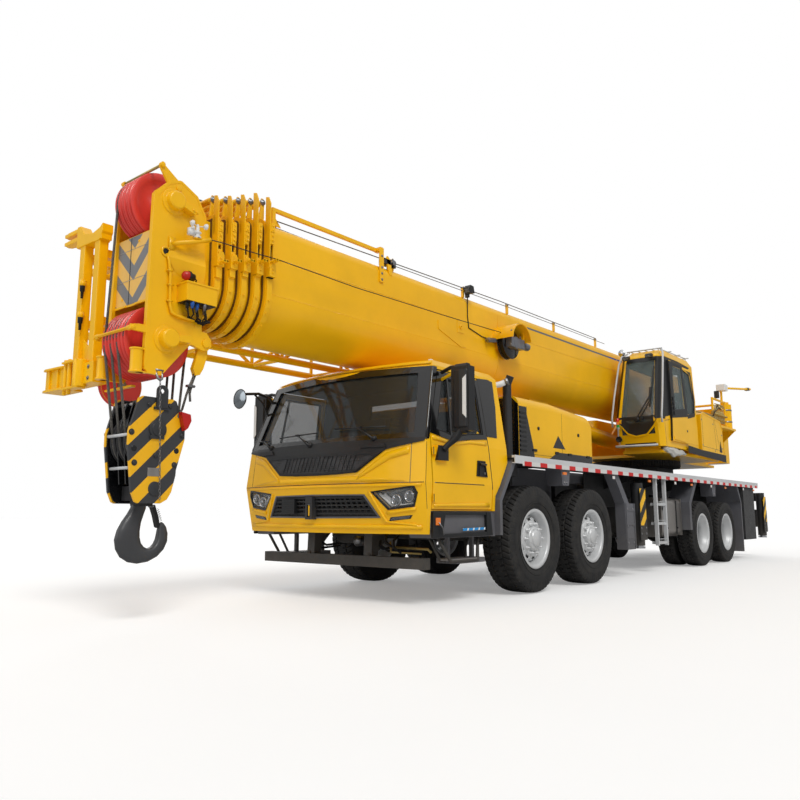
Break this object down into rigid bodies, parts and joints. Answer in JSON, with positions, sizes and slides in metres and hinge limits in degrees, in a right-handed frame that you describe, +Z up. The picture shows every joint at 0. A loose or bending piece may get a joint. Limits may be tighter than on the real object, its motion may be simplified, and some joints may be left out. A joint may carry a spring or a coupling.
{
  "type": "mobile crane",
  "caption": "Truck-mounted telescopic crane: wheeled carrier with cab and outriggers, slewing turntable, operator's cab, nested boom, side-stowed jib and hook block.",
  "frame": {"origin": "middle of the overall length and width, on the ground under the tyres", "axes": "+X to the driver's cab and boom head, +Y to the crane's left, +Z up"},
  "size_m": [14.595, 3.22, 3.8592],
  "materials": {
    "yellow_paint": "gloss",
    "red_paint": "satin",
    "dark_paint": "satin",
    "light_grey_paint": "satin",
    "dark_plastic": "matte",
    "aluminium": "satin",
    "cast_iron": "matte",
    "chrome": "gloss",
    "glass": "gloss",
    "lamp_glass": "gloss",
    "tyre": "matte",
    "fabric": "matte",
    "rope_steel": "satin"
  },
  "bodies": {
    "carrier": {"chassis_frame": "dark_paint", "deck": "dark_paint", "side_rails": "light_grey_paint", "mudguards": "dark_plastic", "fuel_tank": "aluminium", "engine": "cast_iron", "engine_hood": "yellow_paint", "driver_cab": "yellow_paint", "driver_cab_glass": "glass", "bumper": "yellow_paint", "intake_grille": "dark_plastic", "headlamps": "lamp_glass", "cab_interior": "dark_plastic", "steer_axles": "dark_paint", "driveline": "dark_paint", "slew_ring": "cast_iron"},
    "superstructure": {"turntable": "yellow_paint", "winches": "yellow_paint", "counterweight": "yellow_paint", "hydraulics": "yellow_paint", "operator_cab": "yellow_paint", "operator_glass": "glass", "operator_seat": "fabric"},
    "operator_door": {"operator_door": "yellow_paint"},
    "luff_barrel": {"luff_barrel": "yellow_paint"},
    "luff_rod": {"luff_rod": "chrome"},
    "boom": {"boom_base": "yellow_paint", "jib": "yellow_paint"},
    "boom_tip": {"boom_tip": "yellow_paint", "head_sheaves": "red_paint"},
    "hook": {"hook_block": "dark_paint", "hook": "cast_iron", "hoist_ropes": "rope_steel"},
    "boom_section_1": {"boom_section_1": "yellow_paint"},
    "boom_section_2": {"boom_section_2": "yellow_paint"},
    "boom_section_3": {"boom_section_3": "yellow_paint"},
    "boom_section_4": {"boom_section_4": "yellow_paint"},
    "knuckle_1_left": {"knuckle_1_left": "dark_paint"},
    "knuckle_1_right": {"knuckle_1_right": "dark_paint"},
    "knuckle_2_left": {"knuckle_2_left": "dark_paint"},
    "knuckle_2_right": {"knuckle_2_right": "dark_paint"},
    "wheel_1_left": {"wheel_1_left": "tyre"},
    "wheel_1_right": {"wheel_1_right": "tyre"},
    "wheel_2_left": {"wheel_2_left": "tyre"},
    "wheel_2_right": {"wheel_2_right": "tyre"},
    "wheel_3_left": {"wheel_3_left": "tyre"},
    "wheel_3_right": {"wheel_3_right": "tyre"},
    "wheel_4_left": {"wheel_4_left": "tyre"},
    "wheel_4_right": {"wheel_4_right": "tyre"},
    "driver_door_left": {"driver_door_left": "yellow_paint"},
    "outrigger_beam_front_left": {"outrigger_beam_front_left": "dark_paint"},
    "outrigger_jack_front_left": {"outrigger_jack_front_left": "chrome"},
    "outrigger_beam_rear_left": {"outrigger_beam_rear_left": "dark_paint"},
    "outrigger_jack_rear_left": {"outrigger_jack_rear_left": "chrome"},
    "driver_door_right": {"driver_door_right": "yellow_paint"},
    "outrigger_beam_front_right": {"outrigger_beam_front_right": "dark_paint"},
    "outrigger_jack_front_right": {"outrigger_jack_front_right": "chrome"},
    "outrigger_beam_rear_right": {"outrigger_beam_rear_right": "dark_paint"},
    "outrigger_jack_rear_right": {"outrigger_jack_rear_right": "chrome"}
  },
  "joints": [
    {"name": "steer_1_left", "type": "hinge", "parent": "carrier", "child": "knuckle_1_left", "pos_m": [2.763, 1, 0.605], "axis": [0, 0, 1], "range_deg": [-35, 35]},
    {"name": "steer_1_right", "type": "hinge", "parent": "carrier", "child": "knuckle_1_right", "pos_m": [2.763, -1, 0.605], "axis": [0, 0, 1], "range_deg": [-35, 35]},
    {"name": "steer_2_left", "type": "hinge", "parent": "carrier", "child": "knuckle_2_left", "pos_m": [1.303, 1, 0.605], "axis": [0, 0, 1], "range_deg": [-28, 28]},
    {"name": "steer_2_right", "type": "hinge", "parent": "carrier", "child": "knuckle_2_right", "pos_m": [1.303, -1, 0.605], "axis": [0, 0, 1], "range_deg": [-28, 28]},
    {"name": "roll_1_left", "type": "hinge", "parent": "knuckle_1_left", "child": "wheel_1_left", "pos_m": [2.763, 1, 0.605], "axis": [0, 1, 0], "continuous": true},
    {"name": "roll_1_right", "type": "hinge", "parent": "knuckle_1_right", "child": "wheel_1_right", "pos_m": [2.763, -1, 0.605], "axis": [0, 1, 0], "continuous": true},
    {"name": "roll_2_left", "type": "hinge", "parent": "knuckle_2_left", "child": "wheel_2_left", "pos_m": [1.303, 1, 0.605], "axis": [0, 1, 0], "continuous": true},
    {"name": "roll_2_right", "type": "hinge", "parent": "knuckle_2_right", "child": "wheel_2_right", "pos_m": [1.303, -1, 0.605], "axis": [0, 1, 0], "continuous": true},
    {"name": "roll_3_left", "type": "hinge", "parent": "carrier", "child": "wheel_3_left", "pos_m": [-3.027, 1, 0.555], "axis": [0, 1, 0], "continuous": true},
    {"name": "roll_3_right", "type": "hinge", "parent": "carrier", "child": "wheel_3_right", "pos_m": [-3.027, -1, 0.555], "axis": [0, 1, 0], "continuous": true},
    {"name": "roll_4_left", "type": "hinge", "parent": "carrier", "child": "wheel_4_left", "pos_m": [-4.377, 1, 0.555], "axis": [0, 1, 0], "continuous": true},
    {"name": "roll_4_right", "type": "hinge", "parent": "carrier", "child": "wheel_4_right", "pos_m": [-4.377, -1, 0.555], "axis": [0, 1, 0], "continuous": true},
    {"name": "open_driver_door_left", "type": "hinge", "parent": "carrier", "child": "driver_door_left", "pos_m": [4.671, 1.326, 1.6], "axis": [0, 0, -1], "range_deg": [0, 70]},
    {"name": "open_driver_door_right", "type": "hinge", "parent": "carrier", "child": "driver_door_right", "pos_m": [4.671, -1.326, 1.6], "axis": [0, 0, 1], "range_deg": [0, 70]},
    {"name": "slide_operator_door", "type": "slide", "parent": "superstructure", "child": "operator_door", "axis": [-1, 0, 0], "range_m": [0, 0.6]},
    {"name": "slew", "type": "hinge", "parent": "carrier", "child": "superstructure", "pos_m": [-3.537, 0, 1.86], "axis": [0, 0, 1], "continuous": true},
    {"name": "luff", "type": "hinge", "parent": "superstructure", "child": "boom", "pos_m": [-5.037, 0, 3.08], "axis": [0, -1, 0], "range_deg": [0, 80]},
    {"name": "luff_barrel_pivot", "type": "hinge", "parent": "superstructure", "child": "luff_barrel", "pos_m": [-2.837, 0, 2.16], "axis": [0, -1, 0], "range_deg": [0, 91.01]},
    {"name": "luff_rod_stroke", "type": "slide", "parent": "luff_barrel", "child": "luff_rod", "axis": [0.9975, 0, 0.0704], "range_m": [0, 2.93298]},
    {"name": "telescope_1", "type": "slide", "parent": "boom", "child": "boom_section_1", "axis": [1, 0, -0.0093], "range_m": [0, 9.3]},
    {"name": "telescope_2", "type": "slide", "parent": "boom_section_1", "child": "boom_section_2", "axis": [1, 0, -0.0093], "range_m": [0, 9.3]},
    {"name": "telescope_3", "type": "slide", "parent": "boom_section_2", "child": "boom_section_3", "axis": [1, 0, -0.0093], "range_m": [0, 9.3]},
    {"name": "telescope_4", "type": "slide", "parent": "boom_section_3", "child": "boom_section_4", "axis": [1, 0, -0.0093], "range_m": [0, 9.3]},
    {"name": "telescope_5", "type": "slide", "parent": "boom_section_4", "child": "boom_tip", "axis": [1, 0, -0.0093], "range_m": [0, 9.3]},
    {"name": "hook_swing", "type": "hinge", "parent": "boom_tip", "child": "hook", "pos_m": [6.975, 0, 2.312], "axis": [0, -1, 0], "range_deg": [-80, 0]},
    {"name": "extend_beam_front_left", "type": "slide", "parent": "carrier", "child": "outrigger_beam_front_left", "axis": [0, 1, 0], "range_m": [0, 2.1]},
    {"name": "lower_jack_front_left", "type": "slide", "parent": "outrigger_beam_front_left", "child": "outrigger_jack_front_left", "axis": [0, 0, -1], "range_m": [0, 0.6]},
    {"name": "extend_beam_front_right", "type": "slide", "parent": "carrier", "child": "outrigger_beam_front_right", "axis": [0, -1, 0], "range_m": [0, 2.1]},
    {"name": "lower_jack_front_right", "type": "slide", "parent": "outrigger_beam_front_right", "child": "outrigger_jack_front_right", "axis": [0, 0, -1], "range_m": [0, 0.6]},
    {"name": "extend_beam_rear_left", "type": "slide", "parent": "carrier", "child": "outrigger_beam_rear_left", "axis": [0, 1, 0], "range_m": [0, 2.1]},
    {"name": "lower_jack_rear_left", "type": "slide", "parent": "outrigger_beam_rear_left", "child": "outrigger_jack_rear_left", "axis": [0, 0, -1], "range_m": [0, 0.6]},
    {"name": "extend_beam_rear_right", "type": "slide", "parent": "carrier", "child": "outrigger_beam_rear_right", "axis": [0, -1, 0], "range_m": [0, 2.1]},
    {"name": "lower_jack_rear_right", "type": "slide", "parent": "outrigger_beam_rear_right", "child": "outrigger_jack_rear_right", "axis": [0, 0, -1], "range_m": [0, 0.6]}
  ],
  "couplings": [
    {"joint": "steer_1_right", "follows": "steer_1_left", "ratio": 1},
    {"joint": "steer_2_left", "follows": "steer_1_left", "ratio": 0.8},
    {"joint": "steer_2_right", "follows": "steer_1_left", "ratio": 0.8},
    {"joint": "luff_barrel_pivot", "follows": "luff", "ratio": 1.1376},
    {"joint": "luff_rod_stroke", "follows": "luff", "m_per_rad": 2.1006},
    {"joint": "telescope_2", "follows": "telescope_1", "ratio": 1},
    {"joint": "telescope_3", "follows": "telescope_1", "ratio": 1},
    {"joint": "telescope_4", "follows": "telescope_1", "ratio": 1},
    {"joint": "telescope_5", "follows": "telescope_1", "ratio": 1},
    {"joint": "hook_swing", "follows": "luff", "ratio": -1}
  ]
}
